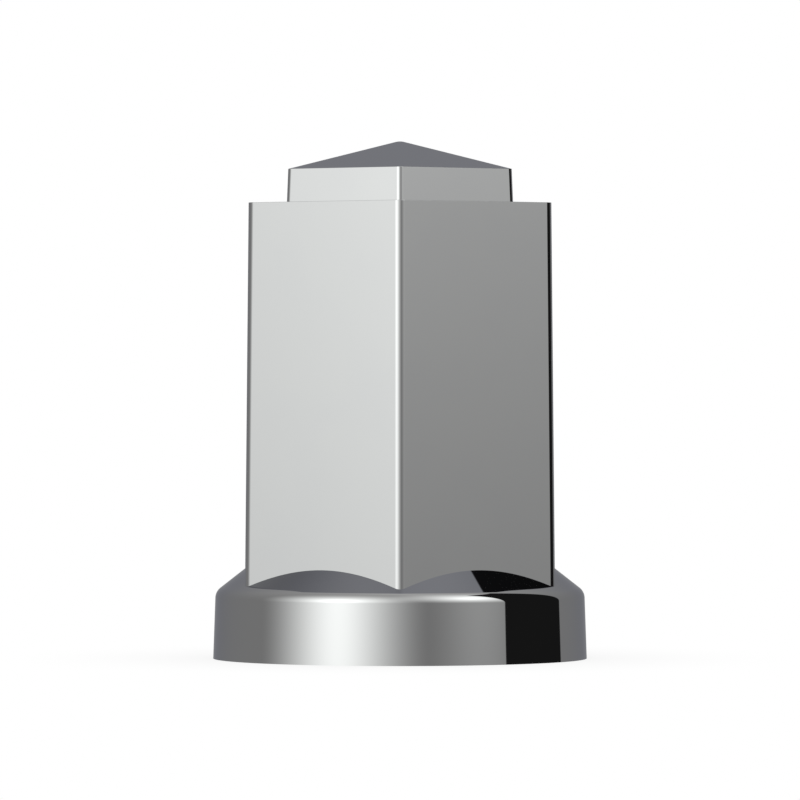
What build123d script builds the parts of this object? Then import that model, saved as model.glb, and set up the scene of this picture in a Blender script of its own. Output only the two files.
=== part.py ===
from build123d import *
from math import cos, radians, tan
import os

# Push-on cover cap for a wheel nut with a captive washer, moulded as one shell.
# A tall drafted hexagon stands on a round flange and carries a smaller hexagon,
# the crown, under a low six-sided roof. It is hollow and open at the rim, where
# it slips over the nut, and ribs inside its flats grip the nut's own flats.
# Sizes are in millimetres and degrees.
# The rim lies in the plane z = 0, centred on the origin. Two flats face +X and
# -X, and two corners point along +Y and -Y.

# Nut that the cap fits
nut_across_flats = 33.0
washer_diameter = 46.0
washer_clearance = 0.4

# Shell
sides = 6
wall = 2.0
edge_radius = 0.05

# Flange: an upright band, a rounded shoulder and a cone up to the flats
band_height = 9.09
band_draft = 2.0
cone_slope = 38.0
shoulder_radius = 1.8
mouth_chamfer = 0.4

# Main hexagon, from the rim to the ledge
ledge_height = 61.64
body_draft = 0.53
body_corner_radius = 1.35

# Small hexagon on the ledge, up to its eaves, and the roof
ledge_width = 5.09
crown_height = 4.62
crown_draft = 2.27
crown_corner_radius = 0.9
roof_slope = 15.27
ridge_radius = 2.4

# Hollow
hollow_corner_radius = 0.5
rib_depth = 2.4
rib_thickness = 1.2
rib_spacing = 10.0
rib_lead_in = 3.0

# Half widths and radii worked out from the sizes above
bore_radius = washer_diameter / 2 + washer_clearance
rim_radius = bore_radius + wall
shoulder_reach = rim_radius - band_height * tan(radians(band_draft))
body_foot = nut_across_flats / 2 + rib_depth + wall
crown_foot = body_foot - ledge_height * tan(radians(body_draft)) - ledge_width
eaves_reach = crown_foot - crown_height * tan(radians(crown_draft))

# Heights worked out from the sizes above
cone_apex = band_height + shoulder_reach * tan(radians(cone_slope))
hollow_cone_apex = cone_apex - wall / cos(radians(cone_slope))
bore_depth = hollow_cone_apex - bore_radius * tan(radians(cone_slope))
eaves_height = ledge_height + crown_height
roof_apex = eaves_height + eaves_reach * tan(radians(roof_slope))
hollow_roof_apex = roof_apex - wall / cos(radians(roof_slope))
ceiling = ledge_height - wall


def hexagon_prism(half_width, foot, top, draft, corner_radius):
    """Drafted hexagonal prism with rounded corners; its half width is that at the foot."""
    with BuildPart() as prism:
        with BuildSketch(Plane.XY.offset(foot)):
            RegularPolygon(half_width, sides, major_radius=False, rotation=180 / sides)
        extrude(amount=top - foot, taper=draft)
        level_edges = prism.faces().filter_by(Axis.Z).edges()
        corners = prism.edges().filter_by(lambda edge: edge not in level_edges)
        fillet(corners, corner_radius)
    return prism.part


def pyramid(apex, base, slope):
    """Sharp six-sided pyramid whose sides line up with the hexagons."""
    with BuildPart() as spire:
        with BuildSketch(Plane.XY.offset(base)) as footprint:
            reach = (apex - base) / tan(radians(slope))
            RegularPolygon(reach, sides, major_radius=False, rotation=180 / sides)
        loft([footprint.sketch.face(), Vertex(0, 0, apex)])
    return spire.part


def rib_tip(height):
    """Distance of the ribs' tips from the axis, which closes in with the body's draft."""
    return body_foot - wall - rib_depth - height * tan(radians(body_draft))


# Flange: band, rounded shoulder and cone, which runs on inside the hexagon
with BuildPart() as flange:
    with BuildSketch(Plane.XZ) as flange_profile:
        with BuildLine():
            Polyline(
                (0, 0),
                (rim_radius, 0),
                (shoulder_reach, band_height),
                (0, cone_apex),
                close=True,
            )
        make_face()
        shoulder_corner = flange_profile.vertices().sort_by(Axis.X)[-2]
        fillet(shoulder_corner, shoulder_radius)
    revolve(axis=Axis.Z)

# Hollow of the flange: a bore for the washer under a cone, a wall inside the other
with BuildPart() as flange_hollow:
    with BuildSketch(Plane.XZ):
        with BuildLine():
            Polyline(
                (0, 0),
                (bore_radius + mouth_chamfer, 0),
                (bore_radius, mouth_chamfer),
                (bore_radius, bore_depth),
                (0, hollow_cone_apex),
                close=True,
            )
        make_face()
    revolve(axis=Axis.Z)

# Main hexagon, from inside the flange to the ledge
hexagon = hexagon_prism(body_foot, 0, ledge_height, body_draft, body_corner_radius)
with BuildPart() as body:
    add(hexagon)
    fillet(body.faces().sort_by(Axis.Z)[-1].edges(), edge_radius)

body_hollow = hexagon_prism(body_foot - wall, 0, ceiling, body_draft, hollow_corner_radius)

# Roof: a sharp pyramid set low and grown by the ridge radius has rounded ridges
sharp_apex = roof_apex - ridge_radius / cos(radians(roof_slope))
sharp_roof = pyramid(sharp_apex, ledge_height, roof_slope)
with BuildPart() as roof:
    add(sharp_roof)
    offset(amount=ridge_radius, kind=Kind.ARC)

# The small hexagon that crowns the cap, cut to its roof
small_hexagon = hexagon_prism(
    crown_foot, ledge_height, roof_apex, crown_draft, crown_corner_radius
)
with BuildPart() as crown:
    add(small_hexagon)
    add(roof.part, mode=Mode.INTERSECT)
    upright_faces = crown.faces().filter_by(lambda face: abs(face.normal_at().Z) < 0.5)
    eaves = [face.edges().sort_by(Axis.Z)[-1] for face in upright_faces]
    fillet(eaves, edge_radius)

# Hollow of the crown, open to the hollow of the body
hollow_foot = crown_foot + wall * tan(radians(crown_draft)) - wall
small_hollow = hexagon_prism(
    hollow_foot, ceiling, roof_apex, crown_draft, hollow_corner_radius
)
hollow_roof = pyramid(hollow_roof_apex, ceiling, roof_slope)
with BuildPart() as crown_hollow:
    add(small_hollow)
    add(hollow_roof, mode=Mode.INTERSECT)

# Grip rib inside the flat that faces +X: it starts flush at the foot of the flat,
# leads in to the nut's width and runs up to the ceiling
with BuildPart() as rib:
    rib_foot = hollow_cone_apex - (body_foot - wall) * tan(radians(cone_slope))
    lead_in_end = rib_foot + rib_lead_in
    root_depth = rib_depth + wall / 2
    with BuildSketch(Plane.XZ):
        with BuildLine():
            Polyline(
                (rib_tip(rib_foot) + root_depth, rib_foot),
                (rib_tip(rib_foot) + rib_depth, rib_foot),
                (rib_tip(lead_in_end), lead_in_end),
                (rib_tip(ceiling), ceiling),
                (rib_tip(ceiling) + root_depth, ceiling),
                close=True,
            )
        make_face()
    extrude(amount=rib_thickness / 2, both=True)

# The whole cap: the outside forms joined, hollowed, and the ribs put in
with BuildPart() as nut_cover:
    add(flange.part)
    add(body.part)
    add(crown.part)
    add(flange_hollow.part, mode=Mode.SUBTRACT)
    add(body_hollow, mode=Mode.SUBTRACT)
    add(crown_hollow.part, mode=Mode.SUBTRACT)
    with PolarLocations(0, sides):
        with Locations((0, rib_spacing / 2), (0, -rib_spacing / 2)):
            add(rib.part)

nut_cover.part.label = "nut_cover"
os.makedirs("parts", exist_ok=True)
export_step(nut_cover.part, "parts/nut_cover.step")
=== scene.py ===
"""Dresses the push-on wheel nut cover cap: its plated shell with the grip ribs, and a studio."""

import logging
import math
from dataclasses import dataclass, field
from enum import Enum
from typing import Any, Callable, Iterable

import bmesh
import bpy
from mathutils import Matrix, Vector


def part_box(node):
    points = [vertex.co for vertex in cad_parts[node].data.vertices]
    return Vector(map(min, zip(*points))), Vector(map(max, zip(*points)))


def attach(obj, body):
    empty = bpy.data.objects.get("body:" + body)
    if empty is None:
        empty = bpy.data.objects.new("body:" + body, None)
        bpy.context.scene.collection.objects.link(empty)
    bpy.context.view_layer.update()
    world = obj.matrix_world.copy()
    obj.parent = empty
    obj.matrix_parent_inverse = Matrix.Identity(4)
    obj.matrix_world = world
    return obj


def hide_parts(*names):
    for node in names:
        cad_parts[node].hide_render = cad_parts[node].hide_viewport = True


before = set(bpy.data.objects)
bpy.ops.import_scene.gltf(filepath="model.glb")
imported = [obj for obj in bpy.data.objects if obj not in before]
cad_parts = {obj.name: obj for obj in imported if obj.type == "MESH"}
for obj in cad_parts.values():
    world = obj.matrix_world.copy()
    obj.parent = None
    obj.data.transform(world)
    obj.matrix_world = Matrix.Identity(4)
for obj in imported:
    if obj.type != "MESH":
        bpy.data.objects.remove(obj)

LOG = logging.getLogger("nut_cover")
Colour = tuple[float, float, float]

# Names in the frame, and of the mesh's attributes
NODE = "nut_cover"
BODY = "root"
NORMAL_ATTRIBUTE = "true_normal"
SATIN_ATTRIBUTE = "satin"

# Shape
MM = 0.001
SIDES = 6
HALF_SIDE = math.pi / SIDES
UP = Vector((0, 0, 1))
SAME_PLACE = 1e-6  # millimetres between points that count as one
CREASE = math.cos(math.radians(20))  # a normal further off gives way to the face's own
MEETING_ROUNDS = 12  # of closing in on where two surfaces meet

# Stage
WHITE = (1, 1, 1)
BLACK = (0, 0, 0)
DISC_SIDES = 128


class Finish(Enum):
    """The two finishes of the shell's skin."""

    BRIGHT = False
    SATIN = True


class Sock:
    """A node's output that takes part in arithmetic: each operation adds its Math node."""

    def __init__(self, nodes: "Nodes", socket: bpy.types.NodeSocket) -> None:
        """Keeps an output socket and the maker of its tree's nodes."""
        self.nodes = nodes
        self.socket = socket

    def math(self, operation: str, *values: Any) -> "Sock":
        """The result of one Math node with these inputs, this socket among them."""
        inputs = dict(enumerate(values))
        return self.nodes.out(self.nodes.add("ShaderNodeMath", {"operation": operation}, inputs))

    def __add__(self, other: Any) -> "Sock":
        """This plus a socket or number."""
        return self.math("ADD", self, other)

    __radd__ = __add__

    def __sub__(self, other: Any) -> "Sock":
        """This minus a socket or number."""
        return self.math("SUBTRACT", self, other)

    def __rsub__(self, other: Any) -> "Sock":
        """A number minus this."""
        return self.math("SUBTRACT", other, self)

    def __mul__(self, other: Any) -> "Sock":
        """This times a socket or number."""
        return self.math("MULTIPLY", self, other)

    __rmul__ = __mul__

    def __truediv__(self, other: Any) -> "Sock":
        """This divided by a socket or number."""
        return self.math("DIVIDE", self, other)

    def __rtruediv__(self, other: Any) -> "Sock":
        """A number divided by this."""
        return self.math("DIVIDE", other, self)

    def most(self, other: Any) -> "Sock":
        """The larger of this and a socket or number."""
        return self.math("MAXIMUM", self, other)

    def smooth(self, start: float, end: float) -> "Sock":
        """Rises smoothly from 0 at start to 1 at end, and stays there.

        Args:
            start: Where the rise starts.
            end: Where it ends; it may be below start.

        Returns:
            The smooth step.
        """
        flip = end < start
        low, high = (end, start) if flip else (start, end)
        node = self.nodes.add(
            "ShaderNodeMapRange",
            {"interpolation_type": "SMOOTHSTEP"},
            {"Value": self, "From Min": low, "From Max": high, "To Min": 1.0 * flip,
             "To Max": 1.0 - flip},
        )
        return self.nodes.out(node, "Result")


class Nodes:
    """Adds nodes and links to one tree."""

    def __init__(self, tree: bpy.types.NodeTree) -> None:
        """Keeps the tree and clears what it held."""
        self.tree = tree
        tree.nodes.clear()

    def add(
        self,
        kind: str,
        settings: dict[str, Any] | None = None,
        inputs: dict[str | int, Any] | None = None,
    ) -> bpy.types.Node:
        """Adds a node, sets it up, then fills its sockets.

        Args:
            kind: The node's type.
            settings: Its properties, set before its sockets.
            inputs: Values, outputs, Sock objects or nodes, which stand for their first
                output, by socket name or number.

        Returns:
            The node.
        """
        node = self.tree.nodes.new(kind)
        for name, value in (settings or {}).items():
            setattr(node, name, value)
        for name, value in (inputs or {}).items():
            if isinstance(value, Sock):
                value = value.socket
            elif isinstance(value, bpy.types.Node):
                value = value.outputs[0]
            if isinstance(value, bpy.types.NodeSocket):
                self.tree.links.new(value, node.inputs[name])
            else:
                node.inputs[name].default_value = value
        return node

    def out(self, node: bpy.types.Node, name: str | int = 0) -> Sock:
        """Wraps a node's output, given its name or number."""
        return Sock(self, node.outputs[name])

    def place(self) -> bpy.types.NodeSocket:
        """The place that is looked at, in its piece's own coordinates."""
        return self.add("ShaderNodeTexCoord").outputs["Object"]

    def tint(self, share: Sock, first: Colour, second: Colour) -> bpy.types.NodeSocket:
        """A colour between two: the first where the share is 0."""
        ends = {"Factor": share, "A": (*first, 1), "B": (*second, 1)}
        return self.add("ShaderNodeMix", {"data_type": "RGBA"}, ends).outputs["Result"]

    def blend(self, share: Any, first: Any, second: Any) -> bpy.types.Node:
        """A shader between two: the first where the share is 0."""
        return self.add("ShaderNodeMixShader", None, {0: share, 1: first, 2: second})

    def surface(self, shader: bpy.types.Node) -> None:
        """Ends a material's tree with the shader of its surface."""
        self.add("ShaderNodeOutputMaterial", None, {"Surface": shader})


def new_material(name: str) -> tuple[bpy.types.Material, Nodes]:
    """Makes an empty node material.

    Args:
        name: The material's name.

    Returns:
        The material and its tree's node maker.
    """
    material = bpy.data.materials.new(name)
    material.use_nodes = True
    return material, Nodes(material.node_tree)


@dataclass(frozen=True)
class Mottle:
    """Soft patches in a finish, from noise.

    Their size is about how far apart they are, in metres. Their strength rises from 0 at the
    noise's low level to 1 at the high one.
    """

    size: float
    low: float
    high: float
    detail: float = 3.0
    roughness: float = 0.6

    def at(self, nodes: Nodes, place: bpy.types.NodeSocket) -> Sock:
        """Works out the patches at a place.

        Args:
            nodes: The node maker.
            place: The place.

        Returns:
            0 to 1.
        """
        noise = nodes.add(
            "ShaderNodeTexNoise", None,
            {"Vector": place, "Scale": 1 / self.size, "Detail": self.detail,
             "Roughness": self.roughness},
        )
        return nodes.out(noise, "Fac").smooth(self.low, self.high)


@dataclass(frozen=True)
class BrightChrome:
    """Bright chrome on the outside: a mirror with the faintest haze and cloud in its polish."""

    colour: Colour = (0.525, 0.525, 0.525)
    cloud_colour: Colour = (0.52, 0.52, 0.522)
    grazing_tint: Colour = (0.706, 0.72, 0.79)
    roughness: float = 0.015
    haze: float = 0.02
    grain_haze: float = 0.01
    clouds: Mottle = Mottle(9 * MM, 0.42, 0.72, roughness=0.5)
    grain: Mottle = Mottle(0.6 * MM, 0.5, 0.8, detail=2.0)

    def build(self) -> bpy.types.Material:
        """Builds the material.

        Returns:
            The material.
        """
        material, nodes = new_material("bright_chrome")
        place = nodes.place()
        cloud = self.clouds.at(nodes, place)
        fine = self.grain.at(nodes, place)
        metal = nodes.add("ShaderNodeBsdfPrincipled", None, {
            "Base Color": nodes.tint(cloud, self.colour, self.cloud_colour),
            "Metallic": 1.0,
            "Specular Tint": (*self.grazing_tint, 1),
            "Roughness": cloud * self.haze + fine * self.grain_haze + self.roughness,
        })
        nodes.surface(metal)
        return material


@dataclass(frozen=True)
class SatinPlating:
    """Thin plating inside, where the bath reached less: duller, mottled and a little warmer."""

    colour: Colour = (0.66, 0.655, 0.64)
    dull_colour: Colour = (0.50, 0.485, 0.455)
    roughness: float = 0.24
    dullness: float = 0.2
    reach: float = 30 * MM
    depth_share: float = 0.6
    patches: Mottle = Mottle(6 * MM, 0.35, 0.7, detail=4.0)

    def build(self) -> bpy.types.Material:
        """Builds the material.

        Returns:
            The material.
        """
        material, nodes = new_material("satin_plating")
        place = nodes.place()
        height = nodes.out(nodes.add("ShaderNodeSeparateXYZ", None, {0: place}), "Z")
        patches = self.patches.at(nodes, place)
        depth = height.smooth(0.0, self.reach)
        dull = depth * self.depth_share + patches * (1 - self.depth_share)
        metal = nodes.add("ShaderNodeBsdfPrincipled", None, {
            "Base Color": nodes.tint(dull, self.colour, self.dull_colour),
            "Metallic": 1.0,
            "Roughness": dull * self.dullness + self.roughness,
        })
        nodes.surface(metal)
        return material


@dataclass(frozen=True)
class Station:
    """One place round half a side of a rounded hexagon, with the flat facing +X.

    Attributes:
        along: Share of the rest of the flat's half length, 1 where the corner starts.
        turn: Angle turned round the corner, in radians.
        rail: Distance along the flat at which that rest starts.
        on_rib: Whether the place is on a rib and stands out from the flat with it.
    """

    along: float
    turn: float = 0.0
    rail: float = 0.0
    on_rib: bool = False

    @property
    def facing(self) -> Vector:
        """The outline's level outward direction here."""
        return Vector((math.cos(self.turn), math.sin(self.turn), 0))

    def on_outline(self, half_width: float, corner_radius: float, height: float) -> Vector:
        """The outline's point here.

        Args:
            half_width: Distance from the axis to the flat.
            corner_radius: Radius of the rounded corner.
            height: The point's height.

        Returns:
            The point.
        """
        radius = min(corner_radius, half_width)
        middle = half_width - radius
        rest = middle * math.tan(HALF_SIDE) - self.rail
        y = self.rail + rest * self.along + radius * math.sin(self.turn)
        return Vector((middle + radius * math.cos(self.turn), y, height))


def corner_stations(steps: int) -> list[Station]:
    """The places after the flat's end, with this many strips over half the corner."""
    return [Station(1.0, HALF_SIDE * i / steps) for i in range(1, steps + 1)]


def outwards(points: list[Vector]) -> list[Vector]:
    """The level directions in which some points lie from the axis."""
    return [Vector((p.x, p.y, 0)).normalized() for p in points]


def ring(around: list[Vector], radius: float, height: float) -> list[Vector]:
    """Points of a circle about the axis, in the given level directions."""
    return [a * radius + UP * height for a in around]


def crosswise(points: list[Vector]) -> Vector:
    """The normal of a face with these corners, as long as twice its area or so."""
    return (points[1] - points[0]).cross(points[-1] - points[0])


@dataclass
class Edge:
    """One edge of a strip of the skin: a point and a normal at each station."""

    points: list[Vector]
    normals: list[Vector]


@dataclass
class Skin:
    """Strips of quads over half a side of the cap and their mirror image."""

    faces: list[tuple[list[Vector], list[Vector], Finish]] = field(default_factory=list)

    def strip(self, edges: Iterable[Edge], finish: Finish = Finish.BRIGHT) -> None:
        """Lays strips between edges that follow one another.

        Args:
            edges: The edges, each with as many stations.
            finish: The strips' finish.
        """
        rows = list(edges)
        for first, last in zip(rows, rows[1:]):
            quads = []
            for i in range(len(first.points) - 1):
                corners = first.points[i : i + 2] + last.points[i : i + 2][::-1]
                normals = first.normals[i : i + 2] + last.normals[i : i + 2][::-1]
                distinct = [
                    j for j in range(4) if (corners[j] - corners[j - 1]).length > SAME_PLACE
                ]
                if len(distinct) > 2:
                    quads.append(([corners[j] for j in distinct], [normals[j] for j in distinct]))
            turned = sum(crosswise(points).dot(sum(ns, Vector())) for points, ns in quads) < 0
            for points, normals in quads:
                if turned:
                    points, normals = points[::-1], normals[::-1]
                self.face(points, normals, finish)

    def face(self, points: list[Vector], normals: list[Vector], finish: Finish) -> None:
        """Adds a face and its mirror image.

        Args:
            points: The corners, anticlockwise from outside.
            normals: Their normals; one far from the face's own gives way to it.
            finish: The face's finish.
        """
        own, flip = crosswise(points).normalized(), Vector((1, -1, 1))
        facing = [n if n.dot(own) > CREASE else own for n in normals]
        mirrored = [p * flip for p in points[::-1]], [n * flip for n in facing[::-1]]
        self.faces += [(points, facing, finish), (*mirrored, finish)]

    def mesh(self, name: str) -> bpy.types.Mesh:
        """Makes the mesh of one whole side, in metres.

        Args:
            name: The mesh's name.

        Returns:
            The mesh, with each corner's true normal and each face's side as attributes.
        """
        made = bpy.data.meshes.new(name)
        points = [p * MM for corners, _, _ in self.faces for p in corners]
        starts = [0]
        for corners, _, _ in self.faces:
            starts.append(starts[-1] + len(corners))
        made.from_pydata(points, [], [range(a, b) for a, b in zip(starts, starts[1:])])
        normals = made.attributes.new(NORMAL_ATTRIBUTE, "FLOAT_VECTOR", "CORNER")
        normals.data.foreach_set("vector", [v for _, ns, _ in self.faces for n in ns for v in n])
        satin = made.attributes.new(SATIN_ATTRIBUTE, "BOOLEAN", "FACE")
        satin.data.foreach_set("value", [finish.value for _, _, finish in self.faces])
        return made


@dataclass(frozen=True)
class DraftedHexagon:
    """Upright hexagonal form whose sides lean in and whose corners are rounded."""

    half_width: float
    base: float
    draft: float
    corner_radius: float

    def half_width_at(self, height: float) -> float:
        """Distance from the axis to the flats at a height."""
        return self.half_width - (height - self.base) * math.tan(math.radians(self.draft))

    def point(self, station: Station, height: float) -> Vector:
        """The point at a station and height."""
        return station.on_outline(self.half_width_at(height), self.corner_radius, height)

    def meet(self, station: Station, surface: Callable[[Vector], float]) -> Vector:
        """The point where the side meets a sloping surface.

        Args:
            station: The place round the side.
            surface: Gives the surface's height over or under a point.

        Returns:
            The point.
        """
        point = self.point(station, self.base)
        for _ in range(MEETING_ROUNDS):
            point = self.point(station, surface(point))
        return point

    def lean(self, station: Station) -> float:
        """Elevation of the side's normal in radians, a little more at the corners."""
        share = math.cos(HALF_SIDE - station.turn) / math.cos(HALF_SIDE)
        return math.atan(math.tan(math.radians(self.draft)) * share)

    def edge(self, points: list[Vector], stations: list[Station], outward: float = 1.0) -> Edge:
        """An edge with the sides' normals; outward is -1 on the wall of a hollow."""
        return Edge(points, [leaning(s.facing, self.lean(s)) * outward for s in stations])


def leaning(around: Vector, lean: float) -> Vector:
    """The unit normal that leans up by some radians from a level direction."""
    return around * math.cos(lean) + UP * math.sin(lean)


def rounding(
    corners: list[Vector],
    around: list[Vector],
    leans: list[tuple[float, float]],
    radius: float,
    steps: int,
) -> list[Edge]:
    """Edges over the rounding between an upper and a lower face.

    Args:
        corners: The sharp edge's points.
        around: The level outward direction at each.
        leans: Elevations of the upper and the lower face's normal at each.
        radius: The rounding's radius.
        steps: Strips over the rounding.

    Returns:
        The edges from the upper face to the lower.
    """
    edges = []
    for step in range(steps + 1):
        edge = Edge([], [])
        for corner, out, (upper, lower) in zip(corners, around, leans):
            back = leaning(out, upper) + leaning(out, lower)
            core = corner - back * (radius / (1 + math.cos(upper - lower)))
            normal = leaning(out, upper + (lower - upper) * step / steps)
            edge.points.append(core + normal * radius)
            edge.normals.append(normal)
        edges.append(edge)
    return edges


@dataclass(frozen=True)
class Roof:
    """Low six-sided roof with rounded ridges and tip. Its top is held to the frame's."""

    apex: float
    top: float
    slope: float = 15.27
    ridge_radius: float = 2.4

    @property
    def fall(self) -> float:
        """Drop of a facet for each millimetre outwards."""
        return math.tan(math.radians(self.slope))

    def at(self, place: Vector) -> tuple[Vector, Vector]:
        """The roof's surface over a place.

        Args:
            place: The place; its height doesn't count.

        Returns:
            The point and its unit normal.
        """
        slope, radius = math.radians(self.slope), self.ridge_radius
        core = self.apex - radius / math.cos(slope)
        level = Vector((place.x, place.y, 0))
        ridge = Vector((math.cos(HALF_SIDE), math.copysign(math.sin(HALF_SIDE), place.y), 0))
        across = level - ridge * level.dot(ridge)
        fall = math.atan(self.fall * math.cos(HALF_SIDE))
        if across.length >= radius * math.sin(slope) * math.sin(HALF_SIDE):
            height = self.apex - place.x * self.fall
            normal = Vector((math.sin(slope), 0, math.cos(slope)))
        else:
            rise = math.sqrt(radius**2 - across.length_squared)
            start = rise * math.sin(fall)
            if level.dot(ridge) > start:
                height = core - level.dot(ridge) * math.tan(fall) + rise / math.cos(fall)
                normal = ridge * start + across + Vector((0, 0, rise * math.cos(fall)))
            else:
                rise = math.sqrt(radius**2 - level.length_squared)
                height = core + rise
                normal = level + Vector((0, 0, rise))
        return Vector((place.x, place.y, min(height, self.top))), normal.normalized()


@dataclass(frozen=True)
class Crown:
    """The small hexagon under the roof, and the eaves between them.

    The rings are the distances from the axis at which the roof has vertices, close together
    over its rounded tip.
    """

    sides: DraftedHexagon
    roof: Roof
    eaves_reach: float
    edge_radius: float
    rings: tuple[float, ...] = (
        0.0, 0.08, 0.16, 0.24, 0.32, 0.40, 0.48, 0.56, 0.64, 0.72, 0.8, 1.2, 2.5, 6.0
    )
    edge_steps: int = 4

    def lay(self, skin: Skin, stations: list[Station]) -> Edge:
        """Lays the roof, the eaves and the upright sides.

        Args:
            skin: What the strips are laid on.
            stations: The places round half a side.

        Returns:
            The crown's foot, as an edge on the ledge.
        """
        radius = self.sides.corner_radius
        corners, leans = [], []
        for station in stations:
            point, normal = self.roof.at(station.on_outline(self.eaves_reach, radius, 0))
            corners.append(point)
            upper = math.atan2(normal.z, normal.dot(station.facing))
            leans.append((upper, self.sides.lean(station)))
        facing = [s.facing for s in stations]
        eaves = rounding(corners, facing, leans, self.edge_radius, self.edge_steps)
        rings = []
        for reach in self.rings:
            surface = [self.roof.at(s.on_outline(reach, radius, 0)) for s in stations]
            rings.append(Edge([p for p, _ in surface], [n for _, n in surface]))
        skin.strip([*rings, Edge(eaves[0].points, [self.roof.at(p)[1] for p in eaves[0].points])])
        skin.strip(eaves)
        foot = [self.sides.point(s, self.sides.base) for s in stations]
        skin.strip([self.sides.edge(eaves[-1].points, stations), self.sides.edge(foot, stations)])
        return Edge(foot, [UP] * len(foot))


@dataclass(frozen=True)
class Flange:
    """The round flange: a cone, a rounded shoulder and an upright band."""

    rim_radius: float = 25.4
    band_height: float = 9.09
    band_draft: float = 2.0
    cone_slope: float = 38.0
    shoulder_radius: float = 1.8
    shoulder_steps: int = 14

    @property
    def cone_fall(self) -> float:
        """Drop of the cone for each millimetre outwards."""
        return math.tan(math.radians(self.cone_slope))

    @property
    def shoulder_reach(self) -> float:
        """Radius of the sharp corner between the band and the cone."""
        return self.rim_radius - self.band_height * math.tan(math.radians(self.band_draft))

    @property
    def cone_apex(self) -> float:
        """Height of the cone's apex."""
        return self.band_height + self.shoulder_reach * self.cone_fall

    def cone_over(self, place: Vector) -> float:
        """Height of the cone over a place."""
        return self.cone_apex - math.hypot(place.x, place.y) * self.cone_fall

    def lay(self, skin: Skin, foot: list[Vector]) -> Edge:
        """Lays the flange's outside.

        Args:
            skin: What the strips are laid on.
            foot: The points where the tall hexagon meets the cone.

        Returns:
            The rim's flat underside, as its outer edge.
        """
        around = outwards(foot)
        cone, band = math.radians(90 - self.cone_slope), math.radians(self.band_draft)
        shoulder = rounding(
            ring(around, self.shoulder_reach, self.band_height), around,
            [(cone, band)] * len(around), self.shoulder_radius, self.shoulder_steps,
        )
        skin.strip([Edge(foot, shoulder[0].normals), *shoulder])
        rim = Edge(ring(around, self.rim_radius, 0), shoulder[-1].normals)
        skin.strip([shoulder[-1], rim])
        return rim


@dataclass(frozen=True)
class GripRibs:
    """Pairs of upright ribs inside the flats, which grip the nut."""

    depth: float = 2.4
    thickness: float = 1.2
    spacing: float = 10.0
    lead_in: float = 3.0
    rail_steps: int = 8
    flat_steps: int = 8

    def stations(self, corner_steps: int) -> list[Station]:
        """The places round half a side of the hollow, with the rib's sides as steps.

        Args:
            corner_steps: Strips over half the corner.

        Returns:
            The places.
        """
        near = (self.spacing - self.thickness) / 2
        far = near + self.thickness
        places = [
            Station(0.0, rail=near * i / self.rail_steps) for i in range(self.rail_steps + 1)
        ]
        places += [Station(0.0, rail=near, on_rib=True), Station(0.0, rail=far, on_rib=True)]
        places += [Station(i / self.flat_steps, rail=far) for i in range(self.flat_steps + 1)]
        return places + corner_stations(corner_steps)


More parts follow.
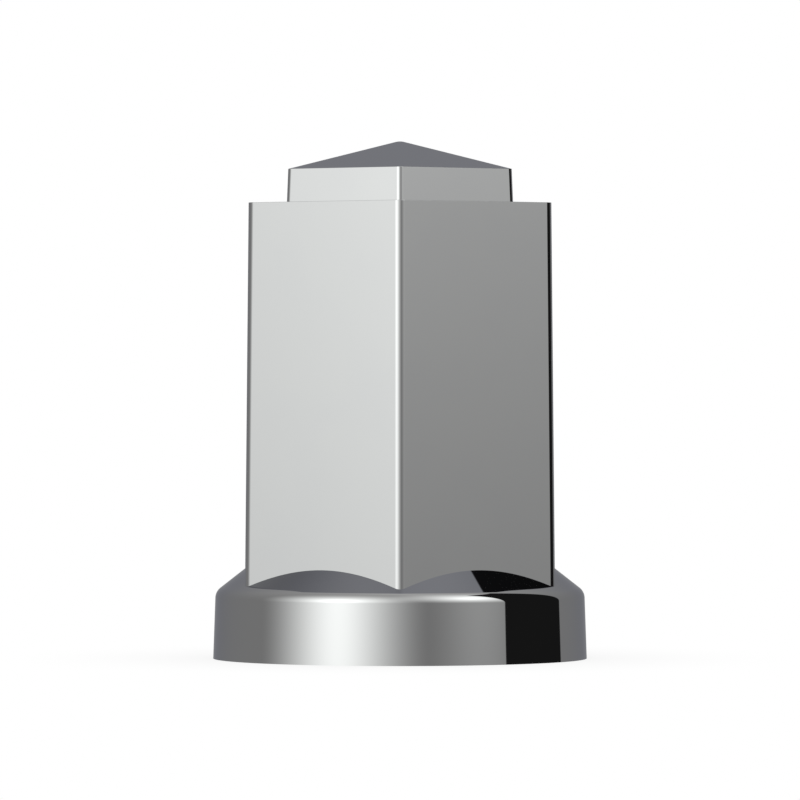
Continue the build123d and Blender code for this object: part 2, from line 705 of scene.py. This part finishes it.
@dataclass(frozen=True)
class Hollow:
    """The hollow: the washer's bore, the ribbed hexagon for the nut and the crown's hollow."""

    ribs: GripRibs
    wide: DraftedHexagon
    narrow: DraftedHexagon
    bore_radius: float
    cone_apex: float
    cone_fall: float
    roof_apex: float
    roof_fall: float
    ceiling: float
    mouth_chamfer: float = 0.4
    corner_steps: int = 8

    def lay(self, skin: Skin, rim: Edge) -> None:
        """Lays the rim's flat underside and all that is inside it.

        Args:
            skin: What the strips are laid on.
            rim: The underside's outer edge.
        """
        stations = self.ribs.stations(self.corner_steps)
        foot = [self.wide.meet(s, self.cone_under) for s in stations]
        around = outwards(foot)
        self.lay_mouth(skin, rim, around)
        self.lay_bore(skin, around, foot)
        self.lay_socket(skin, stations, foot)

    def cone_under(self, place: Vector) -> float:
        """Height of the cone above the bore at a place."""
        return self.cone_apex - math.hypot(place.x, place.y) * self.cone_fall

    def lay_mouth(self, skin: Skin, rim: Edge, around: list[Vector]) -> None:
        """Lays the rim's underside and the mouth's chamfer.

        Args:
            skin: What the strips are laid on.
            rim: The underside's outer edge.
            around: The level directions of the hollow's stations.
        """
        down = [-UP] * len(around)
        mouth = ring(around, self.bore_radius + self.mouth_chamfer, 0)
        skin.strip([Edge(rim.points, down), Edge(mouth, down)])
        lead = [-(a + UP).normalized() for a in around]
        inner = ring(around, self.bore_radius, self.mouth_chamfer)
        skin.strip([Edge(mouth, lead), Edge(inner, lead)], Finish.SATIN)

    def lay_bore(self, skin: Skin, around: list[Vector], foot: list[Vector]) -> None:
        """Lays the bore's upright wall and the cone above it.

        Args:
            skin: What the strips are laid on.
            around: The level directions of the hollow's stations.
            foot: The points where the hexagonal wall meets the cone.
        """
        inward = [-a for a in around]
        low = ring(around, self.bore_radius, self.mouth_chamfer)
        high = ring(around, self.bore_radius, self.cone_under(low[0]))
        skin.strip([Edge(low, inward), Edge(high, inward)], Finish.SATIN)
        under = [-leaning(a, math.atan2(1, self.cone_fall)) for a in around]
        skin.strip([Edge(high, under), Edge(foot, under)], Finish.SATIN)

    def wall_at(
        self, stations: list[Station], feet: list[Vector], height: float, out: float
    ) -> Edge:
        """An edge on the hexagonal wall, with the ribs standing out of it.

        Args:
            stations: The hollow's stations.
            feet: The wall's feet; the edge is nowhere below them.
            height: The edge's height.
            out: How far the ribs stand out there.

        Returns:
            The edge.
        """
        points = []
        for station, foot in zip(stations, feet):
            point = self.wide.point(station, max(height, foot.z))
            points.append(point - Vector((out, 0, 0)) if station.on_rib else point)
        return self.wide.edge(points, stations, -1)

    def lay_socket(self, skin: Skin, stations: list[Station], foot: list[Vector]) -> None:
        """Lays the ribbed wall, the ceiling and the hollow under the roof.

        Args:
            skin: What the strips are laid on.
            stations: The hollow's stations.
            foot: The wall's feet.
        """
        rib_foot = self.cone_apex - self.wide.half_width * self.cone_fall
        lead_end = rib_foot + self.ribs.lead_in
        top = self.wall_at(stations, foot, self.ceiling, self.ribs.depth)
        skin.strip([
            self.wide.edge(foot, stations, -1),
            self.wall_at(stations, foot, rib_foot, 0),
            self.wall_at(stations, foot, lead_end, self.ribs.depth),
            top,
        ], Finish.SATIN)
        down = [-UP] * len(stations)
        tips = self.wide.half_width_at(self.ceiling) - self.ribs.depth
        radius = self.wide.corner_radius
        level = [s.on_outline(tips, radius, self.ceiling) for s in stations]
        opening = [self.narrow.point(s, self.ceiling) for s in stations]
        skin.strip([Edge(top.points, down), Edge(level, down), Edge(opening, down)], Finish.SATIN)
        eaves = [self.narrow.meet(s, self.roof_over) for s in stations]
        walls = [self.narrow.edge(points, stations, -1) for points in (opening, eaves)]
        skin.strip(walls, Finish.SATIN)
        slope = [-Vector((self.roof_fall, 0, 1)).normalized()] * len(stations)
        apex = [UP * self.roof_apex] * len(stations)
        skin.strip([Edge(eaves, slope), Edge(apex, slope)], Finish.SATIN)

    def roof_over(self, place: Vector) -> float:
        """Height of the hollow roof's facet over a place."""
        return self.roof_apex - place.x * self.roof_fall


@dataclass(frozen=True)
class CapShell:
    """The moulded shell, in millimetres and degrees, with heights above the rim."""

    top: float
    flange: Flange = Flange()
    ribs: GripRibs = GripRibs()
    wall: float = 2.0
    edge_radius: float = 0.05
    body_foot: float = 20.9
    body_draft: float = 0.53
    body_corner_radius: float = 1.35
    ledge_height: float = 61.64
    ledge_width: float = 5.09
    crown_height: float = 4.62
    crown_draft: float = 2.27
    crown_corner_radius: float = 0.9
    roof_slope: float = 15.27
    hollow_corner_radius: float = 0.5
    bore_radius: float = 23.4
    corner_steps: int = 8
    edge_steps: int = 4
    seam: float = 1e-7

    def body(self) -> DraftedHexagon:
        """The tall hexagon."""
        return DraftedHexagon(self.body_foot, 0, self.body_draft, self.body_corner_radius)

    def crown_sides(self) -> DraftedHexagon:
        """The small hexagon on the ledge."""
        foot = self.body().half_width_at(self.ledge_height) - self.ledge_width
        return DraftedHexagon(foot, self.ledge_height, self.crown_draft, self.crown_corner_radius)

    def crown(self) -> Crown:
        """The crown with its roof.

        Returns:
            The crown.
        """
        sides = self.crown_sides()
        eaves_height = self.ledge_height + self.crown_height
        reach = sides.half_width_at(eaves_height)
        apex = eaves_height + reach * math.tan(math.radians(self.roof_slope))
        roof = Roof(apex, self.top, self.roof_slope)
        return Crown(sides, roof, reach, self.edge_radius)

    def hollow(self, roof: Roof) -> Hollow:
        """The hollow, a wall inside the outside forms.

        Args:
            roof: The roof.

        Returns:
            The hollow.
        """
        crown, radius = self.crown_sides(), self.hollow_corner_radius
        ceiling = self.ledge_height - self.wall
        cone = self.flange.cone_apex - self.wall / math.cos(math.radians(self.flange.cone_slope))
        return Hollow(
            ribs=self.ribs,
            wide=DraftedHexagon(self.body_foot - self.wall, 0, self.body_draft, radius),
            narrow=DraftedHexagon(
                crown.half_width_at(ceiling) - self.wall, ceiling, self.crown_draft, radius
            ),
            bore_radius=self.bore_radius,
            cone_apex=cone,
            cone_fall=self.flange.cone_fall,
            roof_apex=roof.apex - self.wall / math.cos(math.radians(roof.slope)),
            roof_fall=roof.fall,
            ceiling=ceiling,
            corner_steps=self.corner_steps,
        )

    def lay_body(self, skin: Skin, stations: list[Station], inner: Edge) -> list[Vector]:
        """Lays the ledge, its outer edge and the tall sides.

        Args:
            skin: What the strips are laid on.
            stations: The places round half a side.
            inner: The ledge's inner edge.

        Returns:
            The points where the sides meet the flange's cone.
        """
        body = self.body()
        ledge = rounding(
            [body.point(s, self.ledge_height) for s in stations],
            [s.facing for s in stations],
            [(math.pi / 2, body.lean(s)) for s in stations],
            self.edge_radius, self.edge_steps,
        )
        skin.strip([inner, *ledge])
        foot = [body.meet(s, self.flange.cone_over) for s in stations]
        skin.strip([body.edge(ledge[-1].points, stations), body.edge(foot, stations)])
        return foot

    def build(self, outside: bpy.types.Material, inside: bpy.types.Material) -> bpy.types.Object:
        """Builds one side's mesh, repeats it round the axis and gives it its true normals.

        Args:
            outside: The finish of the outside.
            inside: The finish of the hollow.

        Returns:
            The shell.
        """
        skin = Skin()
        steps = len(self.ribs.stations(self.corner_steps)) - self.corner_steps - 1
        stations = [Station(i / steps) for i in range(steps + 1)]
        stations += corner_stations(self.corner_steps)
        crown = self.crown()
        foot = self.lay_body(skin, stations, crown.lay(skin, stations))
        rim = self.flange.lay(skin, foot)
        self.hollow(crown.roof).lay(skin, rim)
        side = put_in_scene("cap_side", skin.mesh("cap_side"))
        shell = evaluate(
            side, sides_round_axis(), "cap_shell",
            {"Sides": SIDES, "Seam": self.seam, "Outside": outside, "Inside": inside},
        )
        true_normals(shell.data)
        return shell


def sides_round_axis() -> bpy.types.NodeTree:
    """Builds the Geometry Nodes tree that repeats one side round the axis and dresses it.

    Returns:
        The tree.
    """
    tree = bpy.data.node_groups.new("sides_round_axis", "GeometryNodeTree")
    for name, kind in (
        ("Geometry", "NodeSocketGeometry"),
        ("Sides", "NodeSocketInt"),
        ("Seam", "NodeSocketFloat"),
        ("Outside", "NodeSocketMaterial"),
        ("Inside", "NodeSocketMaterial"),
    ):
        tree.interface.new_socket(name, in_out="INPUT", socket_type=kind)
    tree.interface.new_socket("Geometry", in_out="OUTPUT", socket_type="NodeSocketGeometry")
    nodes = Nodes(tree)
    given = nodes.add("NodeGroupInput").outputs
    points = nodes.add("GeometryNodePoints", None, {"Count": given["Sides"]})
    index = nodes.out(nodes.add("GeometryNodeInputIndex"))
    turn = index * math.tau / Sock(nodes, given["Sides"])
    copies = nodes.add("GeometryNodeInstanceOnPoints", None, {
        "Points": points,
        "Instance": given["Geometry"],
        "Rotation": nodes.add("ShaderNodeCombineXYZ", None, {"Z": turn}),
    })
    real = nodes.add("GeometryNodeRealizeInstances", None, {0: copies})
    merged = nodes.add("GeometryNodeMergeByDistance", None, {0: real, "Distance": given["Seam"]})
    hollow = nodes.add(
        "GeometryNodeInputNamedAttribute", {"data_type": "BOOLEAN"}, {"Name": SATIN_ATTRIBUTE}
    )
    bright = nodes.add("GeometryNodeSetMaterial", None, {0: merged, "Material": given["Outside"]})
    satin = nodes.add(
        "GeometryNodeSetMaterial", None,
        {0: bright, "Selection": hollow, "Material": given["Inside"]},
    )
    nodes.add("NodeGroupOutput", None, {0: satin})
    return tree


def put_in_scene(name: str, data: bpy.types.ID) -> bpy.types.Object:
    """Makes an object and links it to the scene.

    Args:
        name: The object's name.
        data: Its mesh, camera or lamp.

    Returns:
        The object.
    """
    made = bpy.data.objects.new(name, data)
    bpy.context.scene.collection.objects.link(made)
    return made


def evaluate(
    obj: bpy.types.Object, tree: bpy.types.NodeTree, name: str, values: dict[str, Any]
) -> bpy.types.Object:
    """Runs a Geometry Nodes tree on an object and makes the result a plain mesh.

    Args:
        obj: The object that carries the tree; it is removed.
        tree: The tree.
        name: The new object's name.
        values: The tree's inputs by name.

    Returns:
        The new object.
    """
    modifier = obj.modifiers.new("nodes", "NODES")
    modifier.node_group = tree
    for socket in tree.interface.items_tree:
        if socket.in_out == "INPUT" and socket.name in values:
            modifier[socket.identifier] = values[socket.name]
    graph = bpy.context.evaluated_depsgraph_get()
    mesh = bpy.data.meshes.new_from_object(obj.evaluated_get(graph), depsgraph=graph)
    mesh.name = name
    for slot in reversed(range(len(mesh.materials))):
        if mesh.materials[slot] is None:
            mesh.materials.pop(index=slot)
    bpy.data.objects.remove(obj)
    return put_in_scene(name, mesh)


def true_normals(mesh: bpy.types.Mesh) -> None:
    """Gives each face's corners the normals of the true surface.

    Args:
        mesh: The whole shell; its corners hold the first side's normals.
    """
    stored = mesh.attributes[NORMAL_ATTRIBUTE].data
    normals = [Vector()] * len(mesh.loops)
    for polygon in mesh.polygons:
        side = round(math.atan2(polygon.center.y, polygon.center.x) / (2 * HALF_SIDE))
        turn = Matrix.Rotation(side * 2 * HALF_SIDE, 3, "Z")
        for corner in polygon.loop_indices:
            normals[corner] = turn @ stored[corner].vector
    mesh.attributes.remove(mesh.attributes[NORMAL_ATTRIBUTE])
    mesh.normals_split_custom_set(normals)


@dataclass(frozen=True)
class PhotoCamera:
    """A long lens, level with the middle of the cap. Lengths are in millimetres."""

    distance: float = 863.5
    height: float = 36.0
    aim_height: float = 35.11
    lens: float = 285.66
    sensor: float = 36.0

    def build(self) -> None:
        """Puts the camera in front of the corner that points along -Y."""
        data = bpy.data.cameras.new("photo_camera")
        data.lens = self.lens
        data.sensor_width = self.sensor
        camera = put_in_scene("photo_camera", data)
        camera.location = Vector((0, -self.distance, self.height)) * MM
        aim = Vector((0, 0, self.aim_height)) * MM - camera.location
        camera.rotation_euler = aim.to_track_quat("-Z", "Y").to_euler()
        bpy.context.scene.camera = camera


def stage_piece(
    name: str, shape: bmesh.types.BMesh, material: bpy.types.Material
) -> bpy.types.Object:
    """Makes a piece of the stage and links it to the scene.

    Args:
        name: The piece's name.
        shape: Its shape, which is freed.
        material: Its material.

    Returns:
        The piece.
    """
    mesh = bpy.data.meshes.new(name)
    shape.to_mesh(mesh)
    shape.free()
    mesh.materials.append(material)
    LOG.info("%s: %d faces", name, len(mesh.polygons))
    return put_in_scene(name, mesh)


def disc(radius: float) -> bmesh.types.BMesh:
    """A round disc in the floor's plane, about the axis.

    Args:
        radius: Its radius in metres.

    Returns:
        The disc.
    """
    shape = bmesh.new()
    bmesh.ops.create_circle(shape, cap_ends=True, segments=DISC_SIDES, radius=radius)
    return shape


def show_only_in_mirrors(piece: bpy.types.Object) -> None:
    """Hides a piece from all but reflections."""
    piece.visible_camera = piece.visible_diffuse = piece.visible_shadow = False
    piece.visible_transmission = piece.visible_volume_scatter = False


def room_direction(azimuth: float, elevation: float) -> Vector:
    """The direction at angles in degrees; azimuth 0 is the camera's side, +X is +90."""
    turn = math.radians(azimuth)
    return leaning(Vector((math.sin(turn), -math.cos(turn), 0)), math.radians(elevation))


@dataclass(frozen=True)
class SoftLight:
    """A soft light that the metal sees in the room, brightest in the middle. Angles in degrees."""

    azimuth: float
    elevation: float
    reach: float
    peak: float


@dataclass(frozen=True)
class BlackFlag:
    """A black card at one side of the room. Angles in degrees."""

    start: float = 67.5
    end: float = 116.2
    top: float = 60.5
    bottom: float = -3.0
    edge: float = 0.35
    strength: float = 0.0135


@dataclass(frozen=True)
class Room:
    """What the plating mirrors: a grey room, soft lights and a black flag over a white floor.

    The walls' brightness grows by the rise overhead and by the back behind the cap. The lights
    fade from their middle with the power light_fall. The floor shows from floor_start degrees
    down, alone from floor_full, and has painted shade: by floor_fall darker at +X, away from the
    key light, than at -X, where it is white. Angles are in degrees and the radius is in metres.
    """

    radius: float = 1.0
    walls: float = 0.299
    rise: float = 0.334
    back: float = 0.018
    lights: tuple[SoftLight, ...] = (
        SoftLight(-38.5, 17.4, 57.4, 2.57),
        SoftLight(51.0, 37.4, 47.3, 2.08),
        SoftLight(180.0, 0.5, 7.0, 1.0),
    )
    light_fall: float = 1.72
    light_colour: Colour = (0.976, 1.0, 0.987)
    flag: BlackFlag = BlackFlag()
    floor_start: float = -3.5
    floor_full: float = -12.0
    floor_fall: float = 0.35
    segments: int = 96

    def glow(self, nodes: Nodes) -> bpy.types.Node:
        """Works out how bright the room is in each direction.

        Args:
            nodes: The node maker of the room's material.

        Returns:
            The shader.
        """
        toward = nodes.add("ShaderNodeVectorMath", {"operation": "NORMALIZE"}, {0: nodes.place()})
        parts = nodes.add("ShaderNodeSeparateXYZ", None, {0: toward})
        x, y, z = (nodes.out(parts, name) for name in "XYZ")
        spread = x * x + y * y
        level = spread.math("SQRT", spread)
        walls = (1 - level) * self.rise + self.walls
        behind = y.most(0.0)
        walls = walls + behind * behind * self.back
        lit = sum(self.light_at(nodes, toward, light) for light in self.lights)
        azimuth = x.math("ARCTAN2", x, 0 - y) * math.degrees(1)
        elevation = z.math("ARCSINE", z) * math.degrees(1)
        flag = self.flag_at(azimuth, elevation)
        floor = elevation.smooth(self.floor_start, self.floor_full)
        # painted shade on the room's floor: darker towards +X, away from the key light
        floor_light = 1 - (x + 1) * (self.floor_fall / 2)
        open_room = (1 - flag) * (1 - floor)
        last = None
        for colour, strength in (
            (WHITE, walls * open_room),
            (self.light_colour, lit * open_room),
            (WHITE, flag * (1 - floor) * self.flag.strength + floor * floor_light),
        ):
            glow = nodes.add(
                "ShaderNodeEmission", None, {"Color": (*colour, 1), "Strength": strength}
            )
            pair = {0: last, 1: glow}
            last = glow if last is None else nodes.add("ShaderNodeAddShader", None, pair)
        return last

    def light_at(self, nodes: Nodes, toward: bpy.types.Node, light: SoftLight) -> Sock:
        """Works out one soft light's share, which fades with the angle from its middle.

        Args:
            nodes: The node maker.
            toward: The direction looked at.
            light: The light.

        Returns:
            Its brightness.
        """
        middle = room_direction(light.azimuth, light.elevation)
        dot = nodes.add(
            "ShaderNodeVectorMath", {"operation": "DOT_PRODUCT"}, {0: toward, 1: middle}
        )
        away = nodes.out(dot, "Value")
        near = (1 - away.math("ARCCOSINE", away) * (1 / math.radians(light.reach))).most(0.0)
        return near.math("POWER", near, self.light_fall) * light.peak

    def flag_at(self, azimuth: Sock, elevation: Sock) -> Sock:
        """Finds where the flag hides the room.

        Args:
            azimuth: The direction's azimuth.
            elevation: Its elevation.

        Returns:
            1 on the flag, 0 elsewhere.
        """
        flag, edge = self.flag, self.flag.edge
        across = azimuth.smooth(flag.start - edge, flag.start + edge)
        across = across * azimuth.smooth(flag.end + edge, flag.end - edge)
        up = elevation.smooth(flag.top + edge, flag.top - edge)
        return across * up * elevation.smooth(flag.bottom - edge, flag.bottom + edge)

    def build(self) -> bpy.types.Object:
        """Builds the room as a sphere that only reflections see.

        Returns:
            The sphere.
        """
        material, nodes = new_material("room_walls")
        nodes.surface(self.glow(nodes))
        shape, around, rings = bmesh.new(), self.segments, self.segments // 2
        bmesh.ops.create_uvsphere(shape, u_segments=around, v_segments=rings, radius=self.radius)
        room = stage_piece("room", shape, material)
        show_only_in_mirrors(room)
        return room


@dataclass(frozen=True)
class FootShadow:
    """The soft shadow round the cap's foot, which darkens the room's floor in the metal.

    It lies a little below the floor, where only slanting rays from the metal meet it. Lengths
    are in metres.
    """

    rim_radius: float = 25.4 * MM
    reach: float = 90 * MM
    depth: float = 0.45
    below: float = 3 * MM
    edge: float = 1 * MM

    def build(self) -> bpy.types.Object:
        """Builds the shadow as a disc that only reflections see.

        Returns:
            The disc.
        """
        material, nodes = new_material("foot_shadow")
        length = nodes.add("ShaderNodeVectorMath", {"operation": "LENGTH"}, {0: nodes.place()})
        from_rim = nodes.out(length, "Value") - self.rim_radius
        near = (1 - from_rim / self.reach).most(0.0)
        shade = near * near * self.depth * from_rim.smooth(0.0, self.edge)
        clear = nodes.add("ShaderNodeBsdfTransparent")
        black = nodes.add("ShaderNodeBsdfDiffuse", None, {"Color": (*BLACK, 1)})
        nodes.surface(nodes.blend(shade, clear, black))
        shape = disc(self.rim_radius + self.reach)
        bmesh.ops.translate(shape, verts=shape.verts, vec=-UP * self.below)
        shadow = stage_piece("foot_shadow", shape, material)
        show_only_in_mirrors(shadow)
        return shadow


@dataclass(frozen=True)
class Floor:
    """A plain white floor that runs into the white background and keeps a soft shadow.

    The metal sees the room's own white floor in its place. Lengths are in metres.
    """

    radius: float = 0.13
    shadow_reach: float = 0.03
    shadow: float = 0.18
    shadow_samples: int = 16
    colour: Colour = (0.9, 0.9, 0.9)

    def build(self) -> bpy.types.Object:
        """Builds the floor, which can't be seen from below.

        Returns:
            The floor.
        """
        material, nodes = new_material("white_floor")
        open_sky = nodes.add(
            "ShaderNodeAmbientOcclusion", {"samples": self.shadow_samples},
            {"Distance": self.shadow_reach},
        )
        light = nodes.out(open_sky, "AO") * self.shadow + (1 - self.shadow)
        glow = nodes.add("ShaderNodeEmission", None, {"Color": (*WHITE, 1), "Strength": light})
        matt = nodes.add("ShaderNodeBsdfDiffuse", None, {"Color": (*self.colour, 1)})
        above = nodes.blend(seen_rays(nodes), matt, glow)
        below = nodes.add("ShaderNodeNewGeometry").outputs["Backfacing"]
        clear = nodes.add("ShaderNodeBsdfTransparent")
        nodes.surface(nodes.blend(below, above, clear))
        floor = stage_piece("floor", disc(self.radius), material)
        floor.visible_glossy = False
        return floor


def seen_rays(nodes: Nodes) -> Sock:
    """Finds the rays that show the background: from the camera, mirrors and glass.

    Args:
        nodes: The node maker.

    Returns:
        1 for such a ray, 0 for others.
    """
    path = nodes.add("ShaderNodeLightPath")
    seen = nodes.out(path, "Is Camera Ray").most(nodes.out(path, "Is Glossy Ray"))
    return seen.most(nodes.out(path, "Is Transmission Ray"))


@dataclass(frozen=True)
class Lamp:
    """A soft square lamp that lights matt surfaces; the metal sees the room's lights instead.

    Angles are in degrees, lengths in metres and the power in watts.
    """

    name: str
    azimuth: float
    elevation: float
    distance: float
    size: float
    power: float

    def build(self) -> None:
        """Builds the lamp, turned to the cap."""
        data = bpy.data.lights.new(self.name, "AREA")
        data.size, data.energy = self.size, self.power
        lamp = put_in_scene(self.name, data)
        toward = room_direction(self.azimuth, self.elevation)
        lamp.location = toward * self.distance
        lamp.rotation_euler = toward.to_track_quat("Z", "Y").to_euler()
        lamp.visible_glossy = False


@dataclass(frozen=True)
class Studio:
    """The floor, the white background, the lamps and the room that the metal mirrors."""

    room: Room = Room()
    foot_shadow: FootShadow = FootShadow()
    floor: Floor = Floor()
    lamps: tuple[Lamp, ...] = (
        Lamp("key_lamp", -38.6, 35.0, 0.7, 0.5, 4.0),
        Lamp("fill_lamp", 51.3, 40.0, 0.7, 0.5, 2.5),
    )
    ambient: float = 0.5

    def build(self) -> None:
        """Builds the studio: its white background, room, foot shadow, floor and lamps."""
        world = bpy.data.worlds.new("white_background")
        bpy.context.scene.world = world
        world.use_nodes = True
        nodes = Nodes(world.node_tree)
        light = seen_rays(nodes) * (1 - self.ambient) + self.ambient
        back = nodes.add("ShaderNodeBackground", None, {"Color": (*WHITE, 1), "Strength": light})
        nodes.add("ShaderNodeOutputWorld", None, {"Surface": back})
        self.room.build()
        self.foot_shadow.build()
        self.floor.build()
        for lamp in self.lamps:
            lamp.build()
            LOG.info("%s: %.1f W", lamp.name, lamp.power)


def main() -> None:
    """Builds the cap and its studio."""
    logging.basicConfig(level=logging.INFO, format="%(message)s")
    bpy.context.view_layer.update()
    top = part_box(NODE)[1].z / MM
    shell = CapShell(top).build(BrightChrome().build(), SatinPlating().build())
    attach(shell, BODY)
    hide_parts(NODE)
    LOG.info("cap_shell: %d faces", len(shell.data.polygons))
    PhotoCamera().build()
    Studio().build()
    bpy.context.scene.view_settings.view_transform = "Standard"


if __name__ == "__main__":
    main()
